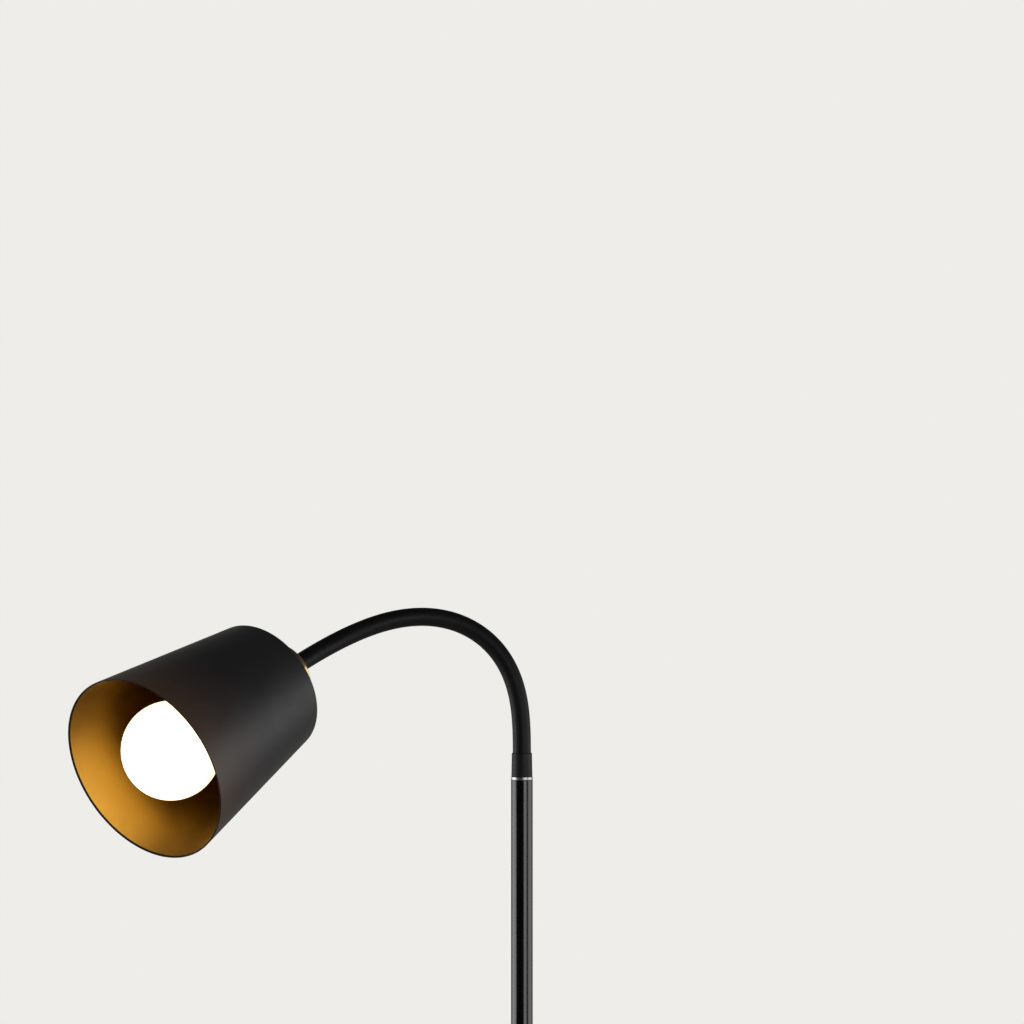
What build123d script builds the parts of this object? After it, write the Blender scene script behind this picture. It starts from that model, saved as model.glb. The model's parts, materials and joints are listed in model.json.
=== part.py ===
from build123d import *
from math import cos, pi, radians, sin, sqrt, tan
import os

os.makedirs("parts", exist_ok=True)

# A floor lamp with one shaded head on a bendable neck, in millimetres and degrees.
# The origin is the middle of the base's underside, +Z is up, and the head faces the front, -Y.

# Fits
slip_fit = 0.05  # radial, between a thread or plug and its bore
loose_fit = 0.2  # radial, where a hole only lets something through
ball_gap = 0.3  # between a neck link's dome and the next link's seat

# Base
base_diameter = 250.0
base_height = 16.0
base_lift = 1.5  # shadow gap under the cover's skirt
base_edge_radius = 5.0
cover_wall = 1.2
pad_thickness = 3.0
pad_inset = 6.0
weight_gap = 1.0  # between the weight and the cover's skirt
nut_recess_diameter = 32.0
nut_recess_depth = 7.2
collar_diameter = 28.0
collar_height = 8.0
collar_chamfer = 2.0

# Stud, nut and washer that clamp the pole to the base
stud_diameter = 10.0
stud_reach = 16.0  # into the pole's foot plug
stud_lift = 0.3  # between the stud's end and the pad
stud_chamfer = 0.5
nut_across_flats = 17.0
nut_thickness = 5.0
washer_diameter = 24.0
washer_thickness = 1.6

# Pole
pole_diameter = 16.0
pole_wall = 1.2
pole_section_length = 440.0
pole_section_names = ["pole_lower", "pole_middle", "pole_upper"]
foot_plug_length = 24.0
top_plug_length = 18.0
coupler_length = 40.0
coupler_bore = 6.4
pole_ring_thickness = 2.2

# Lead inside the pole and neck, and the bush where it leaves the pole
lead_diameter = 4.0
lead_bend_radius = 6.0
cord_hole_height = 45.0  # above the base
bush_diameter = 7.0
bush_rim_diameter = 10.4
bush_rim_height = 1.4

# Neck
link_count = 17
link_pitch = 14.85
link_diameter = 9.6
link_bore = 6.0
sleeve_diameter = 13.4
sleeve_wall = 1.0
boot_height = 17.6
boot_foot_diameter = 15.5
boot_tip_diameter = 14.8
boot_edge_radius = 0.4
boot_overlap = 6.3  # length of the sleeve held inside the boot
first_joint_rise = 4.2  # above the boot
foot_thread_length = 14.0
rest_bend = 113.6  # whole bend of the neck at rest, from upright
bend_skew = 0.675  # under 1 puts the tightest bend nearer the pole
bend_focus = 2.77  # the larger, the shorter the tight stretch
bend_floor = 0.002  # least share of a joint, against the largest
foot_heading = 70.7  # turn from the front at which the neck leaves the pole
sweep_heading = 50.0  # turn from the front of the upright plane that the neck is swept in

# Socket cup and its flange
tip_length = 4.5  # from the last joint to the cup
tip_thread_diameter = 8.0
tip_thread_length = 11.0
tip_nut_across_flats = 13.0
tip_nut_thickness = 4.0
tip_washer_diameter = 16.0
tip_washer_thickness = 1.0
cup_diameter = 46.5
cup_top_diameter = 30.0
cup_chamfer_height = 7.5
cup_side_height = 22.0
cup_wall = 1.2
cup_edge_radius = 1.5
flange_diameter = 56.0
flange_thickness = 2.0

# Shade
shade_top_diameter = 98.0
shade_mouth_diameter = 138.4
shade_height = 135.2
shade_wall = 1.0
shade_edge_radius = 3.0

# Lampholder
holder_diameter = 38.6
holder_cap_diameter = 42.0
holder_cap_wall = 1.6
holder_cap_gap = 1.0  # to the cup's flange
holder_cap_edge_radius = 3.0
holder_floor_thickness = 13.0
holder_reach = 27.0  # past the shade's top plate, into the shade
holder_chamfer = 1.0
screw_shell_bore = 26.4
screw_shell_wall = 0.3
screw_shell_length = 25.0
screw_shell_lift = 0.2
contact_head_diameter = 10.0
contact_head_thickness = 1.0
contact_post_diameter = 5.0
contact_post_length = 8.0
clamp_ring_diameter = 57.0
clamp_ring_height = 7.0
clamp_ring_chamfer = 1.5
terminal_spacing = 20.0
terminal_diameter = 4.4
terminal_length = 7.0
terminal_stand = 1.5  # of the screw heads over the lampholder's floor
core_diameter = 1.8
core_spacing = 2.0
core_bend_radius = 1.1
core_rise = 2.7  # straight run of each core before it turns out to its screw

# Bulb
globe_diameter = 70.0
globe_reach = 5.0  # past the shade's mouth
globe_wall = 1.2
bulb_neck_diameter = 29.0
bulb_flare = 28.0  # slope of the housing where it meets the globe
bulb_housing_wall = 1.4
bulb_gap = 0.3  # between the housing and the lampholder's rim
bulb_cap_diameter = 26.1
bulb_cap_wall = 0.5
bulb_cap_taper = 2.0
bulb_cap_overlap = 4.0  # held inside the housing
bulb_insulator_diameter = 22.4
bulb_insulator_height = 3.0
bulb_contact_diameter = 9.0
bulb_contact_height = 1.5
bulb_contact_gap = 0.1
board_thickness = 1.6
board_lift = 4.0  # from the globe's rim back to the board
driver_width = 18.0
driver_length = 34.0
driver_thickness = 1.6

# Radii and heights that follow from the sizes
pole_radius = pole_diameter / 2
pole_bore_radius = pole_radius - pole_wall
plug_radius = pole_bore_radius - slip_fit
stud_radius = stud_diameter / 2
lead_radius = lead_diameter / 2
link_radius = link_diameter / 2
link_bore_radius = link_bore / 2
sleeve_radius = sleeve_diameter / 2
weight_top = base_height - cover_wall
recess_top = pad_thickness + nut_recess_depth
nut_top = recess_top - washer_thickness
pole_top = base_height + pole_section_length * len(pole_section_names)
neck_base = pole_top + pole_ring_thickness
sleeve_start = neck_base + boot_height - boot_overlap
first_joint = neck_base + boot_height + first_joint_rise


def save(piece, name):
    piece.part.label = name
    export_step(piece.part, "parts/" + name + ".step")


def heading_direction(heading):
    return Vector(-sin(radians(heading)), -cos(radians(heading)), 0)


def section_along(origin, direction):
    # a plane through a line, with its Y axis along that line, for profiles that are turned about it
    across = direction.cross(Vector(0, 0, 1))
    if across.length < 0.001:
        across = Vector(1, 0, 0)
    across = across.normalized()
    return Plane(origin=origin, x_dir=across, z_dir=across.cross(direction))


def bend_direction(bend, heading):
    return heading_direction(heading) * sin(radians(bend)) + Vector(0, 0, 1) * cos(radians(bend))


# Neck at rest: the joints' places, and the direction of each stretch between them
joint_count = link_count + 1
bend_shares = [
    bend_floor + sin(pi * (number / (joint_count + 1)) ** bend_skew) ** bend_focus
    for number in range(1, joint_count + 1)
]
directions = []
for number in range(joint_count + 1):
    bend = rest_bend * sum(bend_shares[:number]) / sum(bend_shares)
    heading = foot_heading * (1 - number / joint_count)
    directions.append(bend_direction(bend, heading))
joints = [Vector(0, 0, first_joint)]
for number in range(1, joint_count):
    joints.append(joints[-1] + directions[number] * link_pitch)
head_joint = joints[-1]
head_direction = directions[-1]

# Each joint bends in the swept plane, and every third one sways square to it
sweep_normal = heading_direction(sweep_heading).cross(Vector(0, 0, 1)) * -1
for number in range(joint_count):
    along = (directions[number] + directions[number + 1]).normalized()
    bend_axis = (sweep_normal - along * sweep_normal.dot(along)).normalized()
    sways = number % 3 == 2
    axis = along.cross(bend_axis) if sways else bend_axis
    kind = "sway" if sways else "bend"
    place = joints[number]
    print("joint", number + 1, kind, *[round(v, 4) for v in [*place, *axis]])

# Base
with BuildPart() as base_cover:
    with BuildSketch(Plane.XZ):
        Polygon(
            (stud_radius + loose_fit, base_height),
            (base_diameter / 2, base_height),
            (base_diameter / 2, base_lift),
            (base_diameter / 2 - cover_wall, base_lift),
            (base_diameter / 2 - cover_wall, base_height - cover_wall),
            (stud_radius + loose_fit, base_height - cover_wall),
            align=None,
        )
    revolve(axis=Axis.Z)
    rims = base_cover.edges().filter_by(GeomType.CIRCLE)
    fillet(rims.group_by(Axis.Z)[-1].sort_by(SortBy.RADIUS)[-1], base_edge_radius)
    corners = base_cover.edges().filter_by(GeomType.CIRCLE)
    inner_corner = corners.filter_by_position(Axis.Z, weight_top - 0.01, weight_top + 0.01)
    fillet(inner_corner.sort_by(SortBy.RADIUS)[-1], base_edge_radius - cover_wall)
save(base_cover, "base_cover")

weight_radius = base_diameter / 2 - cover_wall - weight_gap
with BuildPart() as base_weight:
    with BuildSketch(Plane.XY.offset(pad_thickness)):
        Circle(weight_radius)
    extrude(amount=weight_top - pad_thickness)
    chamfer(base_weight.edges().group_by(Axis.Z)[-1], base_edge_radius)
    with BuildSketch(Plane.XY.offset(pad_thickness)):
        Circle(nut_recess_diameter / 2)
    extrude(amount=nut_recess_depth, mode=Mode.SUBTRACT)
    with Locations((0, 0, weight_top)):
        Hole(stud_radius + loose_fit)
save(base_weight, "base_weight")

with BuildPart() as base_pad:
    with BuildSketch(Plane.XY):
        Circle(weight_radius - pad_inset)
    extrude(amount=pad_thickness)
save(base_pad, "base_pad")

with BuildPart() as base_collar:
    with BuildSketch(Plane.XY.offset(base_height)):
        Circle(collar_diameter / 2)
        Circle(pole_radius + slip_fit, mode=Mode.SUBTRACT)
    extrude(amount=collar_height)
    chamfer(base_collar.edges().group_by(Axis.Z)[-1].sort_by(SortBy.RADIUS)[-1], collar_chamfer)
save(base_collar, "base_collar")

with BuildPart() as foot_stud:
    with BuildSketch(Plane.XY.offset(pad_thickness + stud_lift)):
        Circle(stud_radius)
    extrude(amount=base_height + stud_reach - pad_thickness - stud_lift)
    chamfer(foot_stud.edges().filter_by(GeomType.CIRCLE), stud_chamfer)
save(foot_stud, "foot_stud")

with BuildPart() as foot_washer:
    with BuildSketch(Plane.XY.offset(nut_top)):
        Circle(washer_diameter / 2)
        Circle(stud_radius + loose_fit, mode=Mode.SUBTRACT)
    extrude(amount=washer_thickness)
save(foot_washer, "foot_washer")

with BuildPart() as foot_nut:
    with BuildSketch(Plane.XY.offset(nut_top - nut_thickness)):
        RegularPolygon(nut_across_flats / 2, 6, major_radius=False)
        Circle(stud_radius + slip_fit, mode=Mode.SUBTRACT)
    extrude(amount=nut_thickness)
save(foot_nut, "foot_nut")

# Pole
with BuildPart() as foot_plug:
    with BuildSketch(Plane.XY.offset(base_height)):
        Circle(plug_radius)
        Circle(stud_radius + slip_fit, mode=Mode.SUBTRACT)
    extrude(amount=foot_plug_length)
save(foot_plug, "foot_plug")

cord_hole_z = base_height + cord_hole_height
cord_hole = Plane(origin=(0, 0, cord_hole_z), x_dir=(1, 0, 0), z_dir=(0, 1, 0))
for number, name in enumerate(pole_section_names):
    with BuildPart() as pole_section:
        with BuildSketch(Plane.XY.offset(base_height + number * pole_section_length)):
            Circle(pole_radius)
            Circle(pole_bore_radius, mode=Mode.SUBTRACT)
        extrude(amount=pole_section_length)
        if number == 0:
            with BuildSketch(cord_hole):
                Circle(bush_diameter / 2 + slip_fit)
            extrude(amount=pole_diameter, mode=Mode.SUBTRACT)
    save(pole_section, name)

for number, name in enumerate(["pole_coupler_lower", "pole_coupler_upper"]):
    seam = base_height + (number + 1) * pole_section_length
    with BuildPart() as pole_coupler:
        with BuildSketch(Plane.XY.offset(seam - coupler_length / 2)):
            Circle(plug_radius)
            Circle(coupler_bore / 2, mode=Mode.SUBTRACT)
        extrude(amount=coupler_length)
    save(pole_coupler, name)

with BuildPart() as cord_bush:
    with BuildSketch(cord_hole):
        Circle(bush_rim_diameter / 2)
    extrude(amount=pole_radius + bush_rim_height)
    with BuildSketch(Plane.XY.offset(cord_hole_z - bush_rim_diameter)):
        Circle(pole_radius + slip_fit)
    extrude(amount=2 * bush_rim_diameter, mode=Mode.SUBTRACT)
    with BuildSketch(cord_hole.offset(pole_bore_radius)):
        Circle(bush_diameter / 2)
    extrude(amount=pole_wall + bush_rim_height)
    with BuildSketch(cord_hole):
        Circle(lead_radius + slip_fit)
    extrude(amount=pole_diameter, mode=Mode.SUBTRACT)
save(cord_bush, "cord_bush")

with BuildPart() as pole_lead:
    with BuildLine():
        FilletPolyline(
            (0, pole_radius + bush_rim_height, cord_hole_z),
            (0, 0, cord_hole_z),
            (0, 0, neck_base),
            radius=lead_bend_radius,
        )
    with BuildSketch(cord_hole.offset(pole_radius + bush_rim_height)):
        Circle(lead_radius)
    sweep()
save(pole_lead, "pole_lead")

with BuildPart() as top_plug:
    with BuildSketch(Plane.XY.offset(pole_top - top_plug_length)):
        Circle(plug_radius)
        Circle(stud_radius + slip_fit, mode=Mode.SUBTRACT)
    extrude(amount=top_plug_length)
save(top_plug, "top_plug")

with BuildPart() as pole_ring:
    with BuildSketch(Plane.XY.offset(pole_top)):
        Circle(pole_radius)
        Circle(stud_radius + loose_fit, mode=Mode.SUBTRACT)
    extrude(amount=pole_ring_thickness)
save(pole_ring, "pole_ring")

# Neck: a dome on each link turns in the seat of the next one
seat_radius = link_radius + ball_gap
seat_rim = sqrt(seat_radius**2 - link_radius**2)
seat_floor = sqrt(seat_radius**2 - link_bore_radius**2)
dome_rim = sqrt(link_radius**2 - link_bore_radius**2)
mid_radius = (link_radius + link_bore_radius) / 2
seat_mid = sqrt(seat_radius**2 - mid_radius**2)
dome_mid = sqrt(link_radius**2 - mid_radius**2)

with BuildPart() as neck_foot:
    with BuildSketch(Plane.XZ):
        with BuildLine():
            Polyline(
                (link_radius, first_joint),
                (link_radius, sleeve_start - ball_gap),
                (sleeve_radius, sleeve_start - ball_gap),
                (sleeve_radius, neck_base),
                (stud_radius, neck_base),
                (stud_radius, pole_top - foot_thread_length),
                (link_bore_radius, pole_top - foot_thread_length),
                (link_bore_radius, first_joint + dome_rim),
            )
            ThreePointArc(
                (link_bore_radius, first_joint + dome_rim),
                (mid_radius, first_joint + dome_mid),
                (link_radius, first_joint),
            )
        make_face()
    revolve(axis=Axis.Z)
save(neck_foot, "neck_foot")

with BuildPart() as neck_boot:
    with BuildSketch(Plane.XZ):
        Polygon(
            (sleeve_radius + slip_fit, neck_base),
            (boot_foot_diameter / 2, neck_base),
            (boot_tip_diameter / 2, neck_base + boot_height),
            (sleeve_radius + slip_fit, neck_base + boot_height),
            align=None,
        )
    revolve(axis=Axis.Z)
    fillet(neck_boot.edges().group_by(Axis.Z)[-1].sort_by(SortBy.RADIUS)[-1], boot_edge_radius)
save(neck_boot, "neck_boot")

for number in range(1, link_count + 1):
    section = section_along(joints[number - 1], directions[number])
    with BuildPart() as neck_link:
        with BuildSketch(section):
            with BuildLine():
                ThreePointArc((link_bore_radius, seat_floor), (mid_radius, seat_mid), (link_radius, seat_rim))
                Line((link_radius, seat_rim), (link_radius, link_pitch))
                ThreePointArc(
                    (link_radius, link_pitch),
                    (mid_radius, link_pitch + dome_mid),
                    (link_bore_radius, link_pitch + dome_rim),
                )
                Line((link_bore_radius, link_pitch + dome_rim), (link_bore_radius, seat_floor))
            make_face()
        revolve(axis=Axis(section.origin, section.y_dir))
    save(neck_link, "neck_link_" + format(number, "02d"))


def neck_path_radii(points):
    # arcs as large as the shorter run beside each corner allows
    radii = []
    for before, corner, after in zip(points, points[1:], points[2:]):
        turn = (corner - before).get_angle(after - corner)
        shorter = min((corner - before).length, (after - corner).length)
        radii.append(0.45 * shorter / tan(radians(turn) / 2))
    return radii


sleeve_points = [Vector(0, 0, sleeve_start), *joints, head_joint + head_direction * (tip_length - loose_fit)]
sleeve_radii = neck_path_radii(sleeve_points)
print("least bend radius of the neck", round(min(sleeve_radii), 1))
with BuildPart() as neck_sleeve:
    with BuildLine() as sleeve_path:
        FilletPolyline(*sleeve_points, radius=sleeve_radii)
    with BuildSketch(Plane.XY.offset(sleeve_start)):
        Circle(sleeve_radius)
        Circle(sleeve_radius - sleeve_wall, mode=Mode.SUBTRACT)
    sweep()
save(neck_sleeve, "neck_sleeve")
sleeve_section = pi * (sleeve_radius**2 - (sleeve_radius - sleeve_wall) ** 2)
sleeve_ratio = neck_sleeve.part.volume / (sleeve_section * sleeve_path.wires()[0].length)
print("sleeve volume over section times length", round(sleeve_ratio, 4))

lead_end = head_joint + head_direction * (tip_length + tip_thread_length)
lead_points = [Vector(0, 0, neck_base), *joints, lead_end]
with BuildPart() as neck_lead:
    with BuildLine() as lead_path:
        FilletPolyline(*lead_points, radius=neck_path_radii(lead_points))
    with BuildSketch(Plane.XY.offset(neck_base)):
        Circle(lead_radius)
    sweep()
save(neck_lead, "neck_lead")
lead_ratio = neck_lead.part.volume / (pi * lead_radius**2 * lead_path.wires()[0].length)
print("lead volume over section times length", round(lead_ratio, 4))

# Head: every piece is turned about, or stands along, the head's axis
head_section = section_along(head_joint, head_direction)
head_axis = Axis(head_section.origin, head_section.y_dir)
head_face = Plane(origin=head_joint, x_dir=head_section.x_dir, z_dir=head_direction)
cup_bottom = tip_length + cup_chamfer_height + cup_side_height
shade_start = cup_bottom + flange_thickness
holder_rim = shade_start + shade_wall + holder_reach
cap_start = tip_length + cup_wall + tip_washer_thickness + tip_nut_thickness + holder_cap_gap
holder_hole_radius = holder_diameter / 2 + loose_fit

with BuildPart() as neck_tip:
    with BuildSketch(head_section):
        with BuildLine():
            ThreePointArc((link_bore_radius, seat_floor), (mid_radius, seat_mid), (link_radius, seat_rim))
            Polyline(
                (link_radius, seat_rim),
                (link_radius, tip_length),
                (tip_thread_diameter / 2, tip_length),
                (tip_thread_diameter / 2, tip_length + tip_thread_length),
                (link_bore_radius, tip_length + tip_thread_length),
                (link_bore_radius, seat_floor),
            )
        make_face()
    revolve(axis=head_axis)
save(neck_tip, "neck_tip")

with BuildPart() as socket_cup:
    with BuildSketch(head_section):
        Polygon(
            (0, tip_length),
            (cup_top_diameter / 2, tip_length),
            (cup_diameter / 2, tip_length + cup_chamfer_height),
            (cup_diameter / 2, cup_bottom),
            (0, cup_bottom),
            align=None,
        )
    revolve(axis=head_axis)
    rims = socket_cup.edges().filter_by(GeomType.CIRCLE).sort_by(head_axis)
    fillet(rims[:2], cup_edge_radius)
    offset(amount=-cup_wall, openings=socket_cup.faces().sort_by(head_axis)[-1])
    with BuildSketch(head_face):
        Circle(tip_thread_diameter / 2 + slip_fit)
    extrude(amount=cup_bottom / 2, mode=Mode.SUBTRACT)
save(socket_cup, "socket_cup")

with BuildPart() as tip_washer:
    with BuildSketch(head_face.offset(tip_length + cup_wall)):
        Circle(tip_washer_diameter / 2)
        Circle(tip_thread_diameter / 2 + slip_fit, mode=Mode.SUBTRACT)
    extrude(amount=tip_washer_thickness)
save(tip_washer, "tip_washer")

with BuildPart() as tip_nut:
    with BuildSketch(head_face.offset(tip_length + cup_wall + tip_washer_thickness)):
        RegularPolygon(tip_nut_across_flats / 2, 6, major_radius=False)
        Circle(tip_thread_diameter / 2 + slip_fit, mode=Mode.SUBTRACT)
    extrude(amount=tip_nut_thickness)
save(tip_nut, "tip_nut")

with BuildPart() as cup_flange:
    with BuildSketch(head_face.offset(cup_bottom)):
        Circle(flange_diameter / 2)
        Circle(holder_hole_radius, mode=Mode.SUBTRACT)
    extrude(amount=flange_thickness)
    rims = cup_flange.edges().filter_by(GeomType.CIRCLE).sort_by(SortBy.RADIUS)
    fillet(rims[-2:], flange_thickness / 4)
save(cup_flange, "cup_flange")

with BuildPart() as shade:
    with BuildSketch(head_section):
        Polygon(
            (0, shade_start),
            (shade_top_diameter / 2, shade_start),
            (shade_mouth_diameter / 2, shade_start + shade_height),
            (0, shade_start + shade_height),
            align=None,
        )
    revolve(axis=head_axis)
    fillet(shade.edges().filter_by(GeomType.CIRCLE).sort_by(head_axis)[0], shade_edge_radius)
    offset(amount=-shade_wall, openings=shade.faces().sort_by(head_axis)[-1])
    with BuildSketch(head_face.offset(cup_bottom)):
        Circle(holder_hole_radius)
    extrude(amount=shade_height / 2, mode=Mode.SUBTRACT)
save(shade, "shade")

with BuildPart() as holder_cap:
    with BuildSketch(head_face.offset(cap_start)):
        Circle(holder_cap_diameter / 2)
    extrude(amount=cup_bottom - holder_cap_gap - cap_start)
    fillet(holder_cap.edges().filter_by(GeomType.CIRCLE).sort_by(head_axis)[0], holder_cap_edge_radius)
    offset(amount=-holder_cap_wall, openings=holder_cap.faces().sort_by(head_axis)[-1])
    with BuildSketch(head_face):
        Circle(tip_thread_diameter / 2 + slip_fit)
    extrude(amount=cup_bottom, mode=Mode.SUBTRACT)
save(holder_cap, "holder_cap")

holder_floor = shade_start - contact_head_thickness
holder_start = holder_floor - holder_floor_thickness
shell_radius = screw_shell_bore / 2 + screw_shell_wall
terminal_places = [(-terminal_spacing / 2, 0), (terminal_spacing / 2, 0)]
with BuildPart() as holder_body:
    with BuildSketch(head_face.offset(holder_start)):
        Circle(holder_diameter / 2)
    extrude(amount=holder_rim - holder_start)
    chamfer(holder_body.edges().filter_by(GeomType.CIRCLE).sort_by(head_axis)[-1], holder_chamfer)
    with BuildSketch(head_face.offset(holder_floor)):
        Circle(shell_radius + loose_fit)
    extrude(amount=holder_rim - holder_floor, mode=Mode.SUBTRACT)
    with BuildSketch(head_face.offset(holder_floor - contact_post_length)):
        Circle(contact_post_diameter / 2 + slip_fit)
    extrude(amount=contact_post_length, mode=Mode.SUBTRACT)
    with BuildSketch(head_face.offset(holder_start)):
        with Locations(*terminal_places):
            Circle(terminal_diameter / 2 + slip_fit)
    extrude(amount=terminal_length - terminal_stand, mode=Mode.SUBTRACT)
save(holder_body, "holder_body")

with BuildPart() as screw_shell:
    with BuildSketch(head_face.offset(holder_floor + screw_shell_lift)):
        Circle(shell_radius)
        Circle(screw_shell_bore / 2, mode=Mode.SUBTRACT)
    extrude(amount=screw_shell_length)
save(screw_shell, "screw_shell")

with BuildPart() as holder_contact:
    with BuildSketch(head_face.offset(holder_floor - contact_post_length)):
        Circle(contact_post_diameter / 2)
    extrude(amount=contact_post_length)
    with BuildSketch(head_face.offset(holder_floor)):
        Circle(contact_head_diameter / 2)
    extrude(amount=contact_head_thickness)
save(holder_contact, "holder_contact")

with BuildPart() as clamp_ring:
    with BuildSketch(head_face.offset(shade_start + shade_wall)):
        Circle(clamp_ring_diameter / 2)
        Circle(holder_diameter / 2 + slip_fit, mode=Mode.SUBTRACT)
    extrude(amount=clamp_ring_height)
    far_rims = clamp_ring.edges().filter_by(GeomType.CIRCLE).sort_by(head_axis)[-2:]
    chamfer(far_rims.sort_by(SortBy.RADIUS)[-1], clamp_ring_chamfer)
save(clamp_ring, "clamp_ring")

with BuildPart() as terminal_screws:
    with BuildSketch(head_face.offset(holder_start - terminal_stand)):
        with Locations(*terminal_places):
            Circle(terminal_diameter / 2)
    extrude(amount=terminal_length)
save(terminal_screws, "terminal_screws")

core_turn = lead_end + head_direction * core_rise
screw_top = head_joint + head_direction * (holder_start - terminal_stand)
with BuildPart() as lead_cores:
    for side in (-1, 1):
        inner = head_face.x_dir * (side * core_spacing / 2)
        outer = head_face.x_dir * (side * terminal_spacing / 2)
        screw_turn = head_joint + outer + head_direction * (core_turn - head_joint).length
        with BuildLine():
            FilletPolyline(
                lead_end + inner, core_turn + inner, screw_turn, screw_top + outer, radius=core_bend_radius
            )
        with BuildSketch(Plane(origin=lead_end + inner, x_dir=head_face.x_dir, z_dir=head_direction)):
            Circle(core_diameter / 2)
        sweep()
save(lead_cores, "lead_cores")

# Bulb
globe_radius = globe_diameter / 2
globe_middle = shade_start + shade_height + globe_reach - globe_radius
globe_rim = globe_middle - globe_radius * sin(radians(bulb_flare))
globe_rim_radius = globe_radius * cos(radians(bulb_flare))
globe_inside = globe_radius - globe_wall
globe_inner_rim_radius = sqrt(globe_inside**2 - (globe_middle - globe_rim) ** 2)
globe_tip = globe_middle + globe_radius
housing_start = holder_rim + bulb_gap
bulb_contact_start = shade_start + bulb_contact_gap
insulator_start = bulb_contact_start + bulb_contact_height
bulb_cap_start = insulator_start + bulb_insulator_height
bulb_cap_end = housing_start + bulb_cap_overlap
board_start = globe_rim - board_lift - board_thickness
housing_flare = globe_rim_radius - bulb_neck_diameter / 2
housing_length = globe_rim - housing_start
housing_curve = (housing_flare**2 + housing_length**2) / (2 * housing_flare)
board_flare = housing_curve - sqrt(housing_curve**2 - (board_start - housing_start) ** 2)
board_radius = bulb_neck_diameter / 2 - bulb_housing_wall + board_flare - slip_fit

with BuildPart() as bulb_contact:
    with BuildSketch(head_face.offset(bulb_contact_start)):
        Circle(bulb_contact_diameter / 2)
    extrude(amount=bulb_contact_height)
save(bulb_contact, "bulb_contact")

with BuildPart() as bulb_insulator:
    with BuildSketch(head_face.offset(insulator_start)):
        Circle(bulb_insulator_diameter / 2)
    extrude(amount=bulb_insulator_height)
    chamfer(bulb_insulator.edges().filter_by(GeomType.CIRCLE).sort_by(head_axis)[0], bulb_insulator_height / 2)
save(bulb_insulator, "bulb_insulator")

with BuildPart() as bulb_cap:
    with BuildSketch(head_section):
        Polygon(
            (bulb_insulator_diameter / 2 - bulb_cap_wall, bulb_cap_start),
            (bulb_insulator_diameter / 2, bulb_cap_start),
            (bulb_cap_diameter / 2, bulb_cap_start + bulb_cap_taper),
            (bulb_cap_diameter / 2, bulb_cap_end),
            (bulb_cap_diameter / 2 - bulb_cap_wall, bulb_cap_end),
            (bulb_cap_diameter / 2 - bulb_cap_wall, bulb_cap_start + bulb_cap_taper),
            align=None,
        )
    revolve(axis=head_axis)
save(bulb_cap, "bulb_cap")

with BuildPart() as bulb_housing:
    with BuildSketch(head_section):
        with BuildLine() as housing_outline:
            outer_line = TangentArc(
                (bulb_neck_diameter / 2, housing_start), (globe_rim_radius, globe_rim), tangent=(0, 1)
            )
            inner_line = TangentArc(
                (bulb_neck_diameter / 2 - bulb_housing_wall, housing_start),
                (globe_rim_radius - bulb_housing_wall, globe_rim),
                tangent=(0, 1),
            )
            Line(outer_line @ 0, inner_line @ 0)
            Line(outer_line @ 1, inner_line @ 1)
        make_face()
    revolve(axis=head_axis)
save(bulb_housing, "bulb_housing")

with BuildPart() as bulb_globe:
    with BuildSketch(head_section):
        with BuildLine():
            Line((globe_inner_rim_radius, globe_rim), (globe_rim_radius, globe_rim))
            ThreePointArc((globe_rim_radius, globe_rim), (globe_radius, globe_middle), (0, globe_tip))
            Line((0, globe_tip), (0, globe_tip - globe_wall))
            ThreePointArc(
                (0, globe_tip - globe_wall), (globe_inside, globe_middle), (globe_inner_rim_radius, globe_rim)
            )
        make_face()
    revolve(axis=head_axis)
save(bulb_globe, "bulb_globe")

with BuildPart() as bulb_board:
    with BuildSketch(head_face.offset(board_start)):
        Circle(board_radius)
    extrude(amount=board_thickness)
save(bulb_board, "bulb_board")

with BuildPart() as bulb_driver:
    with BuildSketch(head_section):
        with Locations((0, board_start - loose_fit - driver_length / 2)):
            Rectangle(driver_width, driver_length)
    extrude(amount=driver_thickness / 2, both=True)
save(bulb_driver, "bulb_driver")

for number, radius in enumerate(sleeve_radii):
    print("neck bend", number + 1, "radius", round(radius, 1))
print("head joint", [round(v, 3) for v in head_joint], "direction", [round(v, 4) for v in head_direction])
print("shade mouth", [round(v, 3) for v in head_joint + head_direction * (shade_start + shade_height)])
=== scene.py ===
import json
import math

import bmesh
import bpy
from mathutils import Matrix, Vector


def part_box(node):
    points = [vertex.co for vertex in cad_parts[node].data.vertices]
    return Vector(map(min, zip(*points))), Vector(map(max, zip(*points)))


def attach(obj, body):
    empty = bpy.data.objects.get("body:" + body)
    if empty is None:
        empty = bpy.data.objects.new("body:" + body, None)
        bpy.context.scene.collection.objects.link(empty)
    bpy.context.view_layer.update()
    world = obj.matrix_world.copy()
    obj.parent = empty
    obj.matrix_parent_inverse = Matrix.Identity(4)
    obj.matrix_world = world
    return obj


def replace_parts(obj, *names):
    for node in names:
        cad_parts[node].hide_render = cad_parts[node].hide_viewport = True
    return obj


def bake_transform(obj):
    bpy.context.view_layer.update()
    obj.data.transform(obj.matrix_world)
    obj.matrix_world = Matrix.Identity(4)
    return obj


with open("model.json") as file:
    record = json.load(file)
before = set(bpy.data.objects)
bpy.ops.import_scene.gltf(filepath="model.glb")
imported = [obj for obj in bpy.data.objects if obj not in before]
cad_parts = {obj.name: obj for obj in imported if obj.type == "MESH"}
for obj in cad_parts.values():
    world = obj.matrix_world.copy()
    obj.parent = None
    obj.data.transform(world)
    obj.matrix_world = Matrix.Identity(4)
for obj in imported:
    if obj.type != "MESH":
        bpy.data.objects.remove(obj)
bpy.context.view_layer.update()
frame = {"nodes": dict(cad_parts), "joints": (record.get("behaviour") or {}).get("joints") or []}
nodes = frame["nodes"]
joints = frame["joints"]
mm = 0.001
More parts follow.
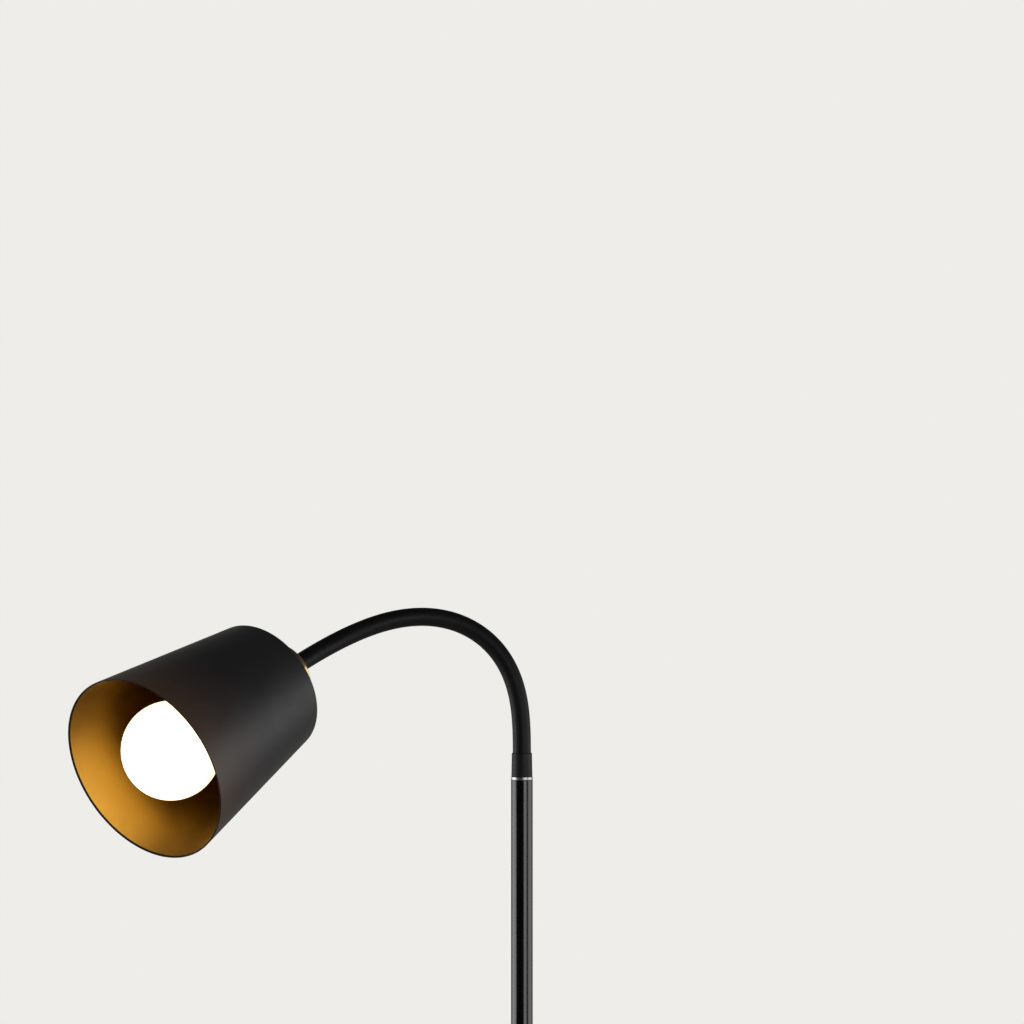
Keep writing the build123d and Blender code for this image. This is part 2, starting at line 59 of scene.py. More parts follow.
up = Vector((0, 0, 1))


def boxMiddle(node):
    low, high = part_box(node)
    return (low + high) / 2


def placeAlong(origin, direction):  # turns +Z onto a direction and moves there
    return Matrix.Translation(origin) @ direction.to_track_quat("Z", "Y").to_matrix().to_4x4()


# The head's axis runs through two of its round pieces, and starts at the neck's last joint
headAxis = (boxMiddle("screw_shell") - boxMiddle("tip_washer")).normalized()
headJoint = Vector(joints[-1]["pos_m"])
headPlace = placeAlong(headJoint, headAxis)
bodyPlaces = {"head": headPlace, "stand": Matrix.Identity(4)}


# Camera, as the photograph was taken
cameraValues = {
    "turn": 40.0,  # degrees round from the lamp's front
    "distance": 3.67,  # metres from the pole
    "height": 1.5325,
    "sideways": -0.00727,  # of the pole from the middle of the frame
    "frameWidth": 0.7516,  # metres that the frame spans at the pole
}
turn = math.radians(cameraValues["turn"])
toCamera = Vector((math.sin(turn), -math.cos(turn), 0))
toRight = Vector((math.cos(turn), math.sin(turn), 0))


def addCamera(values):
    data = bpy.data.cameras.new("camera")
    data.sensor_width = 36
    data.lens = data.sensor_width * values["distance"] / values["frameWidth"]
    data.clip_end = 50
    camera = bpy.data.objects.new("camera", data)
    camera.location = toCamera * values["distance"] + toRight * values["sideways"] + up * values["height"]
    camera.rotation_mode = "QUATERNION"
    camera.rotation_quaternion = toCamera.to_track_quat("Z", "Y")
    bpy.context.scene.collection.objects.link(camera)
    bpy.context.scene.camera = camera


addCamera(cameraValues)
bpy.context.scene.view_settings.view_transform = "Standard"


# Node helpers
noiseSpan = (0.3, 0.7)  # most of a noise texture's values lie in here


def link(tree, output, target):
    tree.links.new(output, target)


def mathNode(tree, operation, first, second=None):
    node = tree.nodes.new("ShaderNodeMath")
    node.operation = operation
    for socket, value in zip(node.inputs, (first, second)):
        if isinstance(value, (int, float)):
            socket.default_value = value
        elif value is not None:
            link(tree, value, socket)
    return node.outputs[0]


def rangeNode(tree, value, low, high, toLow, toHigh):
    node = tree.nodes.new("ShaderNodeMapRange")
    for name, number in (("From Min", low), ("From Max", high), ("To Min", toLow), ("To Max", toHigh)):
        node.inputs[name].default_value = number
    link(tree, value, node.inputs["Value"])
    return node.outputs["Result"]


def blendColours(tree, factor, first, second):
    node = tree.nodes.new("ShaderNodeMix")
    node.data_type = "RGBA"
    link(tree, factor, node.inputs["Factor"])
    for socket, colour in zip(node.inputs[6:8], (first, second)):
        if isinstance(colour, tuple):
            socket.default_value = (*colour, 1)
        else:
            link(tree, colour, socket)
    return node.outputs[2]


def noiseNode(tree, vector, scale, detail=2.0):
    node = tree.nodes.new("ShaderNodeTexNoise")
    node.inputs["Detail"].default_value = detail
    if isinstance(scale, (int, float)):
        node.inputs["Scale"].default_value = scale
    else:
        link(tree, scale, node.inputs["Scale"])
    link(tree, vector, node.inputs["Vector"])
    return node.outputs["Fac"]


# Effects that several finishes share
def newGroup(name, inputs, outputs):
    group = bpy.data.node_groups.new(name, "ShaderNodeTree")
    for label, kind in inputs:
        group.interface.new_socket(label, in_out="INPUT", socket_type=kind)
    for label, kind in outputs:
        group.interface.new_socket(label, in_out="OUTPUT", socket_type=kind)
    return group, group.nodes.new("NodeGroupInput"), group.nodes.new("NodeGroupOutput")


def grainGroup():
    # fine orange peel of a coat or moulding, with a slow mottle over it
    group, source, result = newGroup(
        "fineGrain",
        [("Vector", "NodeSocketVector"), ("Grains per metre", "NodeSocketFloat")],
        [("Grain", "NodeSocketFloat"), ("Mottle", "NodeSocketFloat")],
    )
    coarse = mathNode(group, "MULTIPLY", source.outputs[1], 0.02)
    link(group, noiseNode(group, source.outputs[0], source.outputs[1], 3.0), result.inputs[0])
    link(group, noiseNode(group, source.outputs[0], coarse, 3.0), result.inputs[1])
    return group


def turnedGroup():
    # rings left by a lathe tool, round the Z axis of the vector
    group, source, result = newGroup(
        "turnedRings",
        [("Vector", "NodeSocketVector"), ("Rings per metre", "NodeSocketFloat")],
        [("Rings", "NodeSocketFloat"), ("Smear", "NodeSocketFloat")],
    )
    split = group.nodes.new("ShaderNodeSeparateXYZ")
    link(group, source.outputs[0], split.inputs[0])
    across = mathNode(group, "MULTIPLY", split.outputs[0], split.outputs[0])
    deep = mathNode(group, "MULTIPLY", split.outputs[1], split.outputs[1])
    radius = mathNode(group, "SQRT", mathNode(group, "ADD", across, deep))
    ring = group.nodes.new("ShaderNodeCombineXYZ")
    link(group, radius, ring.inputs[0])
    link(group, split.outputs[2], ring.inputs[2])
    link(group, noiseNode(group, ring.outputs[0], source.outputs[1], 2.0), result.inputs[0])
    wide = mathNode(group, "MULTIPLY", source.outputs[1], 0.03)
    link(group, noiseNode(group, source.outputs[0], wide), result.inputs[1])
    return group


fineGrain = grainGroup()
turnedRings = turnedGroup()


# Finishes
def newFinish(name, values):
    material = bpy.data.materials.new(name)
    material.use_nodes = True
    tree = material.node_tree
    shader = tree.nodes["Principled BSDF"]
    for socket in ("Metallic", "Specular IOR Level"):
        if socket in values:
            shader.inputs[socket].default_value = values[socket]
    return material, tree, shader


def objectVector(tree, place=None):
    source = tree.nodes.new("ShaderNodeTexCoord")
    if place is None:
        return source.outputs["Object"]
    # the mapping brings a piece's own axis onto Z, and its foot to the origin
    mapping = tree.nodes.new("ShaderNodeMapping")
    back = place.inverted()
    mapping.inputs["Location"].default_value = back.translation
    mapping.inputs["Rotation"].default_value = back.to_euler()
    link(tree, source.outputs["Object"], mapping.inputs["Vector"])
    return mapping.outputs["Vector"]


def useGroup(tree, group, vector, density):
    node = tree.nodes.new("ShaderNodeGroup")
    node.node_tree = group
    link(tree, vector, node.inputs[0])
    node.inputs[1].default_value = density
    return node.outputs[0], node.outputs[1]


def addBump(tree, shader, height, depth, strength):
    bump = tree.nodes.new("ShaderNodeBump")
    bump.inputs["Distance"].default_value = depth
    bump.inputs["Strength"].default_value = strength
    link(tree, height, bump.inputs["Height"])
    link(tree, bump.outputs["Normal"], shader.inputs["Normal"])


# steepness of the painted glow of the bulb's light near the shade's mouth
paintedGlowPower = 1.6


def makeFinish(name, values):
    # the fine texture gives the bump, the slow one the two tones
    material, tree, shader = newFinish(name, values)
    vector = objectVector(tree, values.get("place"))
    turned = "rings" in values
    group, density = (turnedRings, values["rings"]) if turned else (fineGrain, values["grains"])
    fine, slow = useGroup(tree, group, vector, density)
    rough = rangeNode(tree, fine if turned else slow, *noiseSpan, *values["roughness"])
    link(tree, rough, shader.inputs["Roughness"])
    colour = blendColours(tree, slow, values["dark"], values["light"])
    if "paintedGlow" in values:
        # painted glow: a warmer, lighter colour grows towards the shade's mouth and stands in for the bulb's light
        split = tree.nodes.new("ShaderNodeSeparateXYZ")
        link(tree, vector, split.inputs[0])
        share = rangeNode(tree, split.outputs[2], *values["paintedGlowSpan"], 0, 1)
        colour = blendColours(tree, mathNode(tree, "POWER", share, paintedGlowPower), colour, values["paintedGlow"])
    link(tree, colour, shader.inputs["Base Color"])
    addBump(tree, shader, fine, values["depth"], values["bump"])
    return material


finishValues = {
    "rimBlack": {"dark": (0.001, 0.001, 0.001), "light": (0.002, 0.002, 0.002), "roughness": (0.5, 0.6),
                 "grains": 2600, "depth": 0.00003, "bump": 0.2, "Specular IOR Level": 0.15},
    "poleBlack": {"dark": (0.0012, 0.0012, 0.0014), "light": (0.002, 0.002, 0.0023), "roughness": (0.14, 0.19),
                  "grains": 1500, "depth": 0.00002, "bump": 0.1, "Specular IOR Level": 0.62},
    "baseBlack": {"dark": (0.01, 0.01, 0.011), "light": (0.017, 0.017, 0.018), "roughness": (0.36, 0.46),
                  "grains": 2200, "depth": 0.00005, "bump": 0.3},
    "siliconeBlack": {"dark": (0.002, 0.002, 0.0024), "light": (0.0036, 0.0034, 0.004), "roughness": (0.46, 0.56),
                      "grains": 1800, "depth": 0.00003, "bump": 0.2, "Specular IOR Level": 0.22},
    "rubberBlack": {"dark": (0.003, 0.0028, 0.0032), "light": (0.005, 0.0047, 0.005), "roughness": (0.44, 0.54),
                    "grains": 2400, "depth": 0.00005, "bump": 0.3, "Specular IOR Level": 0.25},
    "foamBlack": {"dark": (0.012, 0.012, 0.012), "light": (0.03, 0.03, 0.03), "roughness": (0.85, 0.95),
                  "grains": 1200, "depth": 0.0002, "bump": 0.6},
    "holderBlack": {"dark": (0.014, 0.013, 0.013), "light": (0.024, 0.022, 0.022), "roughness": (0.35, 0.45),
                    "grains": 3000, "depth": 0.00004, "bump": 0.25},
    "castGrey": {"dark": (0.09, 0.09, 0.092), "light": (0.17, 0.165, 0.16), "roughness": (0.6, 0.75),
                 "grains": 700, "depth": 0.0004, "bump": 0.6, "Metallic": 0.6},
    "zincSteel": {"dark": (0.5, 0.5, 0.48), "light": (0.66, 0.65, 0.6), "roughness": (0.28, 0.42),
                  "grains": 1600, "depth": 0.00003, "bump": 0.2, "Metallic": 1.0},
    "neckSteel": {"dark": (0.42, 0.42, 0.42), "light": (0.58, 0.57, 0.56), "roughness": (0.26, 0.36),
                  "grains": 2000, "depth": 0.00003, "bump": 0.2, "Metallic": 1.0},
    "nickelBrass": {"dark": (0.6, 0.57, 0.5), "light": (0.75, 0.72, 0.66), "roughness": (0.18, 0.26),
                    "grains": 2000, "depth": 0.00002, "bump": 0.15, "Metallic": 1.0},
    "capMetal": {"dark": (0.66, 0.66, 0.66), "light": (0.8, 0.8, 0.8), "roughness": (0.2, 0.3),
                 "grains": 2000, "depth": 0.00002, "bump": 0.15, "Metallic": 1.0},
    "bulbWhite": {"dark": (0.78, 0.77, 0.74), "light": (0.84, 0.83, 0.8), "roughness": (0.3, 0.36),
                  "grains": 2600, "depth": 0.00002, "bump": 0.1},
    "insulatorBlack": {"dark": (0.01, 0.01, 0.012), "light": (0.02, 0.02, 0.022), "roughness": (0.12, 0.2),
                       "grains": 1500, "depth": 0.00002, "bump": 0.1},
    "boardWhite": {"dark": (0.72, 0.73, 0.72), "light": (0.8, 0.8, 0.79), "roughness": (0.35, 0.45),
                   "grains": 2500, "depth": 0.00002, "bump": 0.1},
    "boardGreen": {"dark": (0.01, 0.09, 0.03), "light": (0.02, 0.14, 0.05), "roughness": (0.3, 0.4),
                   "grains": 2500, "depth": 0.00003, "bump": 0.2},
    "jacketBlack": {"dark": (0.012, 0.012, 0.013), "light": (0.02, 0.02, 0.021), "roughness": (0.35, 0.45),
                    "grains": 1800, "depth": 0.00003, "bump": 0.2},
    "coreBrown": {"dark": (0.12, 0.045, 0.02), "light": (0.17, 0.07, 0.03), "roughness": (0.32, 0.4),
                  "grains": 1800, "depth": 0.00002, "bump": 0.15},
    "cupBrass": {"dark": (0.62, 0.45, 0.2), "light": (0.74, 0.56, 0.28), "roughness": (0.24, 0.34),
                 "rings": 2600, "depth": 0.00003, "bump": 0.25, "Metallic": 1.0, "place": headPlace},
    "ringSteel": {"dark": (0.38, 0.38, 0.375), "light": (0.46, 0.46, 0.45), "roughness": (0.32, 0.4),
                  "rings": 3000, "depth": 0.00002, "bump": 0.2, "Metallic": 1.0},
    # the spans are in metres along the head; the shade's paint and lining get a painted glow of the bulb's light
    # near the mouth
    "shadeBlack": {"dark": (0.006, 0.0051, 0.0063), "light": (0.0092, 0.008, 0.0096), "roughness": (0.48, 0.54),
                   "grains": 2600, "depth": 0.00004, "bump": 0.25, "place": headPlace,
                   "paintedGlow": (0.038, 0.0185, 0.009), "paintedGlowSpan": (0.1, 0.172)},
    "shadeBrass": {"dark": (0.385, 0.192, 0.016), "light": (0.44, 0.225, 0.021), "roughness": (0.37, 0.43),
                   "grains": 2600, "depth": 0.00004, "bump": 0.2, "Metallic": 1.0, "place": headPlace,
                   "paintedGlow": (0.4, 0.228, 0.04), "paintedGlowSpan": (0.115, 0.172)},
}
finishes = {name: makeFinish(name, values) for name, values in finishValues.items()}

lightValues = {
    "colour": (1.0, 0.85, 0.63),
    "edge": (1.0, 0.72, 0.43),
    "edgeBlend": 0.35,
    "edgeMottle": (0.9, 1.0),
    "strength": 1.62,
    "opal": (0.9, 0.88, 0.84),
    "grains": 300,
    "roughness": (0.3, 0.36),
}


def globeFinish(values):
    material, tree, shader = newFinish("globeOpal", {})
    grain, mottle = useGroup(tree, fineGrain, objectVector(tree), values["grains"])
    shader.inputs["Base Color"].default_value = (*values["opal"], 1)
    shader.inputs["Emission Strength"].default_value = values["strength"]
    facing = tree.nodes.new("ShaderNodeLayerWeight")
    facing.inputs["Blend"].default_value = values["edgeBlend"]
    uneven = rangeNode(tree, mottle, *noiseSpan, *values["edgeMottle"])
    edge = mathNode(tree, "MULTIPLY", facing.outputs["Facing"], uneven)
    link(tree, blendColours(tree, edge, values["colour"], values["edge"]), shader.inputs["Emission Color"])
    link(tree, rangeNode(tree, grain, *noiseSpan, *values["roughness"]), shader.inputs["Roughness"])
    return material


finishes["globeOpal"] = globeFinish(lightValues)
print("finishes made:", len(finishes))


# Studio: pale floor, pale surroundings, and soft lamps at the sides
studioValues = {
    "backdrop": (0.855, 0.847, 0.815),
    "ambient": 0.8,
    "glossRest": 0.006,
    "glossBehind": 0.45,
    "behindSpan": (0.3, 0.95),  # how squarely a direction points away from the camera
    "risingSpan": (0.1, 0.9),
    "floorSize": 6.0,
    "floorDrop": 0.0002,
    "floorFade": (0.5, 2.2),  # metres from the lamp
    "floor": (0.74, 0.735, 0.71),
    "floorPaintedShadeInGloss": (0.22, 0.22, 0.215),
    "floorRoughness": 0.9,
}
softLamps = {  # around: degrees from the camera, to the right
    "lampRight": {"around": 93, "height": 1.35, "distance": 2.4, "size": (2.4, 1.5), "radiance": 1.9},
    "lampNear": {"around": 35, "height": 1.45, "distance": 2.6, "size": (1.4, 1.5), "radiance": 2.4},
    "lampLeft": {"around": -91, "height": 1.45, "distance": 2.0, "size": (2.2, 1.5), "radiance": 3.0},
}


def addWorld(values):
    world = bpy.data.worlds.new("studio")
    world.use_nodes = True
    bpy.context.scene.world = world
    tree = world.node_tree
    background = tree.nodes["Background"]
    rays = tree.nodes.new("ShaderNodeLightPath")
    direction = tree.nodes.new("ShaderNodeTexCoord").outputs["Generated"]
    behind = tree.nodes.new("ShaderNodeVectorMath")
    behind.operation = "DOT_PRODUCT"
    behind.inputs[1].default_value = -toCamera
    link(tree, direction, behind.inputs[0])
    height = tree.nodes.new("ShaderNodeSeparateXYZ")
    link(tree, direction, height.inputs[0])
    far = rangeNode(tree, behind.outputs["Value"], *values["behindSpan"], 0, values["glossBehind"])
    low = rangeNode(tree, height.outputs[2], *values["risingSpan"], 1, 0)
    gloss = mathNode(tree, "ADD", mathNode(tree, "MULTIPLY", far, low), values["glossRest"])
    shown = mathNode(tree, "MAXIMUM", rays.outputs["Is Camera Ray"], rays.outputs["Is Transmission Ray"])
    glossy = mathNode(tree, "MULTIPLY", rays.outputs["Is Glossy Ray"], gloss)
    plain = mathNode(tree, "SUBTRACT", 1.0, rays.outputs["Is Glossy Ray"])
    plain = mathNode(tree, "MULTIPLY", plain, values["ambient"])
    rest = mathNode(tree, "ADD", glossy, plain)
    unshown = mathNode(tree, "SUBTRACT", 1.0, shown)
    strength = mathNode(tree, "ADD", shown, mathNode(tree, "MULTIPLY", rest, unshown))
    background.inputs["Color"].default_value = (*values["backdrop"], 1)
    link(tree, strength, background.inputs["Strength"])


def addSoftLamp(name, values):
    data = bpy.data.lights.new(name, "AREA")
    data.shape = "RECTANGLE"
    data.size, data.size_y = values["size"]
    data.energy = values["radiance"] * math.pi * data.size * data.size_y
    lamp = bpy.data.objects.new(name, data)
    angle = turn + math.radians(values["around"])
    side = Vector((math.sin(angle), -math.cos(angle), 0))
    lamp.location = side * values["distance"] + up * values["height"]
    lamp.rotation_mode = "QUATERNION"
    lamp.rotation_quaternion = side.to_track_quat("Z", "Y")
    lamp.visible_camera = False
    bpy.context.scene.collection.objects.link(lamp)


def addFloor(values):
    shape = bmesh.new()
    bmesh.ops.create_circle(shape, cap_ends=True, segments=96, radius=values["floorSize"] / 2)
    mesh = bpy.data.meshes.new("floor")
    shape.to_mesh(mesh)
    shape.free()
    floor = bpy.data.objects.new("floor", mesh)
    floor.location.z = -values["floorDrop"]
    bpy.context.scene.collection.objects.link(floor)
    material, tree, shader = newFinish("floorPale", {})
    rays = tree.nodes.new("ShaderNodeLightPath")
    # painted shade: reflections see the floor much darker than the camera does
    seen = blendColours(tree, rays.outputs["Is Glossy Ray"], values["floor"], values["floorPaintedShadeInGloss"])
    link(tree, seen, shader.inputs["Base Color"])
    shader.inputs["Roughness"].default_value = values["floorRoughness"]
    # the camera sees the floor melt into the backdrop away from the lamp
    reach = tree.nodes.new("ShaderNodeVectorMath")
    reach.operation = "LENGTH"
    link(tree, objectVector(tree), reach.inputs[0])
    faded = rangeNode(tree, reach.outputs["Value"], *values["floorFade"], 0, 1)
    clear = mathNode(tree, "MULTIPLY", rays.outputs["Is Camera Ray"], faded)
    link(tree, mathNode(tree, "SUBTRACT", 1.0, clear), shader.inputs["Alpha"])
    mesh.materials.append(material)


addWorld(studioValues)
addFloor(studioValues)
for name, values in softLamps.items():
    addSoftLamp(name, values)
print("studio set")


# Making pieces
sharpAngle = math.radians(35)


def addPiece(name, shape, materials, body=None):
    if body:
        bmesh.ops.transform(shape, matrix=bodyPlaces[body], verts=shape.verts)
    for edge in shape.edges:
        if len(edge.link_faces) == 2:
            edge.smooth = edge.calc_face_angle(0) < sharpAngle
    for face in shape.faces:
        face.smooth = True
    mesh = bpy.data.meshes.new(name)
    shape.to_mesh(mesh)
    shape.free()
    for material in materials:
        mesh.materials.append(finishes[material])
    piece = bpy.data.objects.new(name, mesh)
    bpy.context.scene.collection.objects.link(piece)
    if body:
        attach(piece, body)
    return piece


def turnedShape(profile, steps):
    # profile: (radius, height) in millimetres, spun about Z
    shape = bmesh.new()
    points = [shape.verts.new((radius * mm, 0, height * mm)) for radius, height in profile]
    edges = [shape.edges.new(pair) for pair in zip(points, points[1:] + points[:1])]
    bmesh.ops.spin(shape, geom=points + edges, cent=(0, 0, 0), axis=(0, 0, 1), angle=math.tau,
                   steps=steps, use_merge=True)
    bmesh.ops.remove_doubles(shape, verts=shape.verts, dist=1e-7)
    bmesh.ops.recalc_face_normals(shape, faces=shape.faces)
    return shape


def rounded(profile, corners, arcSteps):
    # replaces chosen corners of a profile by arcs: corners is {index: radius}
    # a narrow strip beside each arc keeps the shading of a long face straight
    spots = [Vector(corner) for corner in profile]
    sides = []
    for index, here in enumerate(spots):
        before = spots[index - 1] - here
        after = spots[(index + 1) % len(spots)] - here
        half = before.angle(after) / 2
        sides.append((before, after, half, corners.get(index, 0) / math.tan(half)))
    result = []
    for index, here in enumerate(spots):
        radius = corners.get(index, 0)
        before, after, half, cut = sides[index]
        if not radius:
            result.append(tuple(here))
            continue
        freeBefore = before.length - cut - sides[index - 1][3]
        freeAfter = after.length - cut - sides[(index + 1) % len(spots)][3]
        before, after = before.normalized(), after.normalized()
        middle = here + (before + after).normalized() * (radius / math.sin(half))
        start = here + before * cut - middle
        sweep = start.angle_signed(here + after * cut - middle)
        arc = [middle + Matrix.Rotation(-sweep * step / arcSteps, 2) @ start for step in range(arcSteps + 1)]
        strip = radius / 2
        if freeBefore > 3 * strip:
            arc.insert(0, here + before * (cut + strip))
        if freeAfter > 3 * strip:
            arc.append(here + after * (cut + strip))
        result += [tuple(point) for point in arc]
    return result


def addTurned(name, profile, finish, body, node, corners=None, arcSteps=5, steps=96):
    if corners:
        profile = rounded(profile, corners, arcSteps)
    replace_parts(addPiece(name, turnedShape(profile, steps), [finish], body), node)


# Shade
shadeValues = {
    "start": 36.0,  # from the neck's last joint, along the head
    "height": 135.2,
    "topRadius": 49.0,
    "mouthRadius": 69.2,
    "wall": 1.0,
    "hole": 19.5,
    "edge": 3.0,
    "rimOutside": 0.48,  # roundings of the mouth's rim
    "rimInside": 0.42,
    "wrap": 1.4,  # depth of the black paint inside the mouth
    "closedEnd": 8.0,  # the lining's end face lies within this of the start
    "inward": 0.5,  # a face that points inward by more belongs to the lining
    "forward": 0.3,  # a face at the mouth that points forward by more belongs to the rim
    "arcSteps": 7,
    "steps": 192,
}


def makeShade(values):
    start, end = values["start"], values["start"] + values["height"]
    slope = math.atan2(values["mouthRadius"] - values["topRadius"], values["height"])
    wall = values["wall"]
    side, wrap = wall / math.cos(slope), values["wrap"]
    profile = [
        (values["hole"], start),
        (values["topRadius"], start),
        (values["mouthRadius"], end),
        (values["mouthRadius"] - side, end),
        (values["mouthRadius"] - side - wrap * math.tan(slope), end - wrap),
        (values["topRadius"] - side + wall * math.tan(slope), start + wall),
        (values["hole"], start + wall),
    ]
    corners = {1: values["edge"], 2: values["rimOutside"], 3: values["rimInside"], 5: values["edge"] - wall}
    shape = turnedShape(rounded(profile, corners, values["arcSteps"]), values["steps"])
    shape.normal_update()
    inward = values["inward"]
    for face in shape.faces:
        middle = face.calc_center_median()
        radius = math.hypot(middle.x, middle.y)
        outward = (face.normal.x * middle.x + face.normal.y * middle.y) / radius
        atEnd = middle.z < (start + values["closedEnd"]) * mm
        lining = outward < -inward or (face.normal.z > inward and atEnd)
        atRim = middle.z > (end - wrap) * mm and (lining or face.normal.z > values["forward"])
        face.material_index = 2 if atRim else 1 if lining else 0
    shade = addPiece("shade", shape, ["shadeBlack", "shadeBrass", "rimBlack"], "head")
    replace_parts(shade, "shade")


makeShade(shadeValues)


# Brass cup and flange
cupValues = {
    "start": 4.5,
    "topRadius": 15.0,
    "radius": 23.25,
    "chamfer": 7.5,
    "end": 34.0,
    "wall": 1.2,
    "hole": 4.05,
    "edge": 1.5,
    "mouthEdge": 0.3,
    "flangeRadius": 28.0,
    "flangeEnd": 36.0,
    "flangeHole": 19.5,
    "flangeEdge": 0.5,
}


def makeCup(values):
    wall, edge = values["wall"], values["edge"]
    start, shoulder, end = values["start"], values["start"] + values["chamfer"], values["end"]
    profile = [
        (values["hole"], start),
        (values["topRadius"], start),
        (values["radius"], shoulder),
        (values["radius"], end),
        (values["radius"] - wall, end),
        (values["radius"] - wall, shoulder + wall * 0.5),
        (values["topRadius"] - wall * 0.4, start + wall),
        (values["hole"], start + wall),
    ]
    corners = {1: edge, 2: edge, 3: values["mouthEdge"]}
    addTurned("socketCup", profile, "cupBrass", "head", "socket_cup", corners, steps=128)
    profile = [
        (values["flangeHole"], end),
        (values["flangeRadius"], end),
        (values["flangeRadius"], values["flangeEnd"]),
        (values["flangeHole"], values["flangeEnd"]),
    ]
    corners = {1: values["flangeEdge"], 2: values["flangeEdge"]}
    addTurned("cupFlange", profile, "cupBrass", "head", "cup_flange", corners, steps=128)


makeCup(cupValues)


# Bulb
bulbValues = {
    "tip": 176.2,
    "radius": 35.0,
    "wall": 1.2,
    "flare": 28.0,  # degrees below the globe's middle, where the housing takes over
    "neckRadius": 14.5,
    "neckStart": 64.3,
    "housingWall": 1.4,
    "globeSteps": 28,
    "housingSteps": 24,
}


def makeBulb(values):
    radius, wall = values["radius"], values["wall"]
    middle = values["tip"] - radius
    flare = math.radians(values["flare"])
    rim = middle - radius * math.sin(flare)
    innerRadius = radius - wall
    innerFlare = math.asin((middle - rim) / innerRadius)
    outer, inner = [], []
    for step in range(values["globeSteps"] + 1):
        share = step / values["globeSteps"]
        angle = -flare + (math.pi / 2 + flare) * share
        outer.append((radius * math.cos(angle), middle + radius * math.sin(angle)))
        angle = math.pi / 2 - (math.pi / 2 + innerFlare) * share
        inner.append((innerRadius * math.cos(angle), middle + innerRadius * math.sin(angle)))
    addTurned("bulbGlobe", outer + inner, "globeOpal", "head", "bulb_globe")
    rise, length = radius * math.cos(flare) - values["neckRadius"], rim - values["neckStart"]
    curve = (rise**2 + length**2) / (2 * rise)
    outer = []
    for step in range(values["housingSteps"] + 1):
        height = length * step / values["housingSteps"]
        outer.append((values["neckRadius"] + curve - math.sqrt(curve**2 - height**2), values["neckStart"] + height))
    inner = [(far - values["housingWall"], height) for far, height in reversed(outer)]
    addTurned("bulbHousing", outer + inner, "bulbWhite", "head", "bulb_housing")


makeBulb(bulbValues)
print("head made")


# Pole, bright ring and boot
poleValues = {
    "radius": 8.0,
    "bore": 6.8,
    "start": 16.0,
    "length": 440.0,
    "edge": 0.2,
    "ringHeight": 2.2,
    "ringBore": 5.2,
    "ringEdge": 0.25,
    "bootFoot": 7.75,
    "bootTip": 7.4,
    "bootHeight": 17.6,
    "bootBore": 6.55,
    "bootFootEdge": 0.3,
    "bootTipEdge": 0.6,
}


def makePole(values):
    radius, bore = values["radius"], values["bore"]
    corners = {1: values["edge"], 2: values["edge"]}
    low = values["start"] + values["length"]
    for name, node in (("poleMiddle", "pole_middle"), ("poleUpper", "pole_upper")):
        high = low + values["length"]
        profile = [(bore, low), (radius, low), (radius, high), (bore, high)]
        addTurned(name, profile, "poleBlack", "stand", node, corners, 3)
        low = high
    high = low + values["ringHeight"]
    bore = values["ringBore"]
    corners = {1: values["ringEdge"], 2: values["ringEdge"]}
    profile = [(bore, low), (radius, low), (radius, high), (bore, high)]
    addTurned("poleRing", profile, "ringSteel", "stand", "pole_ring", corners, 3)
    top = high + values["bootHeight"]
    bore = values["bootBore"]
    corners = {1: values["bootFootEdge"], 2: values["bootTipEdge"]}
    profile = [(bore, high), (values["bootFoot"], high), (values["bootTip"], top), (bore, top)]
    addTurned("neckBoot", profile, "rubberBlack", "stand", "neck_boot", corners)


makePole(poleValues)
print("pole made")


# Neck: one stretch of sleeve and of lead for each joint, from the middle of one link to the middle of the next
neckValues = {
    "sleeve": (5.7, 6.7),  # bore and outside radius
    "lead": (0.0, 2.0),
    "reach": 7.425,  # half a link
    "tipReach": 4.3,
    "leadTipReach": 15.0,
    "around": 48,
    "along": 10,
}


def bentTube(bore, radius, corner, before, after, lengths, values):
    # a tube that comes in along one direction, turns in an arc, and leaves along the other
    shape = bmesh.new()
    arc = min(lengths)
    start = corner - before * lengths[0]
    place = placeAlong(start, before)
    outer = bmesh.ops.create_circle(shape, cap_ends=not bore, segments=values["around"], radius=radius * mm,
                                    matrix=place)["verts"]
    if bore:
        bmesh.ops.create_circle(shape, segments=values["around"], radius=bore * mm, matrix=place)
        bmesh.ops.bridge_loops(shape, edges=shape.edges)
    front = list(shape.faces)

    def push(faces, distance, direction):
        grown = bmesh.ops.extrude_face_region(shape, geom=faces, use_keep_orig=faces is front)["geom"]
        bmesh.ops.translate(shape, verts=[v for v in grown if isinstance(v, bmesh.types.BMVert)],
                            vec=direction * distance)
        return [f for f in grown if isinstance(f, bmesh.types.BMFace)]

    if lengths[0] > arc:
        front = push(front, lengths[0] - arc, before)
    angle = before.angle(after)
    axis = before.cross(after).normalized()
    centre = corner - before * arc + axis.cross(before) * (arc / math.tan(angle / 2))
    spun = bmesh.ops.spin(shape, geom=front, cent=centre, axis=axis, angle=angle, steps=values["along"])
    front = [f for f in spun["geom_last"] if isinstance(f, bmesh.types.BMFace)]
    if lengths[1] > arc:
        push(front, lengths[1] - arc, after)
    bmesh.ops.remove_doubles(shape, verts=shape.verts, dist=1e-8)
    bmesh.ops.recalc_face_normals(shape, faces=shape.faces)
    return shape


